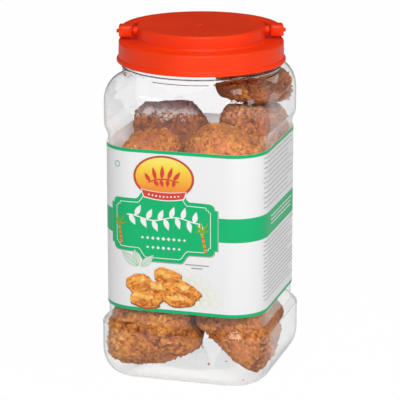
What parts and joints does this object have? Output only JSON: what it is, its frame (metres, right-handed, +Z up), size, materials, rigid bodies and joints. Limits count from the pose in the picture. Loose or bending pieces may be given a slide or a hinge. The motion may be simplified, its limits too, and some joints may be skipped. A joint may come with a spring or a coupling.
{
  "type": "jar of jaggery lumps",
  "caption": "Clear square plastic jar with a red screw lid, a folding carry handle and a wrap label, filled with rough golden-brown jaggery lumps.",
  "frame": {"origin": "middle of the foot, on the surface the jar stands on", "axes": "+Z up through the lid, the label's front panel faces -Y"},
  "size_m": [0.1072, 0.1072, 0.2139],
  "materials": {
    "clear_plastic": "clear blown PET",
    "red_plastic": "orange-red moulded plastic, satin gloss",
    "label_film": "printed wrap film, white with green bands",
    "jaggery": "rough crumbly jaggery with smoother fudge-like patches"
  },
  "bodies": {
    "jar_and_lid": {"jar": "clear_plastic", "lid": "red_plastic", "label": "label_film", "lump_01": "jaggery", "lump_02": "jaggery", "lump_03": "jaggery", "lump_04": "jaggery", "lump_05": "jaggery", "lump_06": "jaggery", "lump_07": "jaggery", "lump_08": "jaggery", "lump_09": "jaggery", "lump_10": "jaggery", "lump_11": "jaggery", "lump_12": "jaggery", "lump_13": "jaggery"},
    "carry_handle": {"handle": "red_plastic"}
  },
  "joints": [
    {"name": "handle_hinge", "type": "hinge", "parent": "jar_and_lid", "child": "carry_handle", "pos_m": [0, 0, 0.2103], "axis": [0.9511, 0.309, 0], "range_deg": [0, 180]}
  ]
}
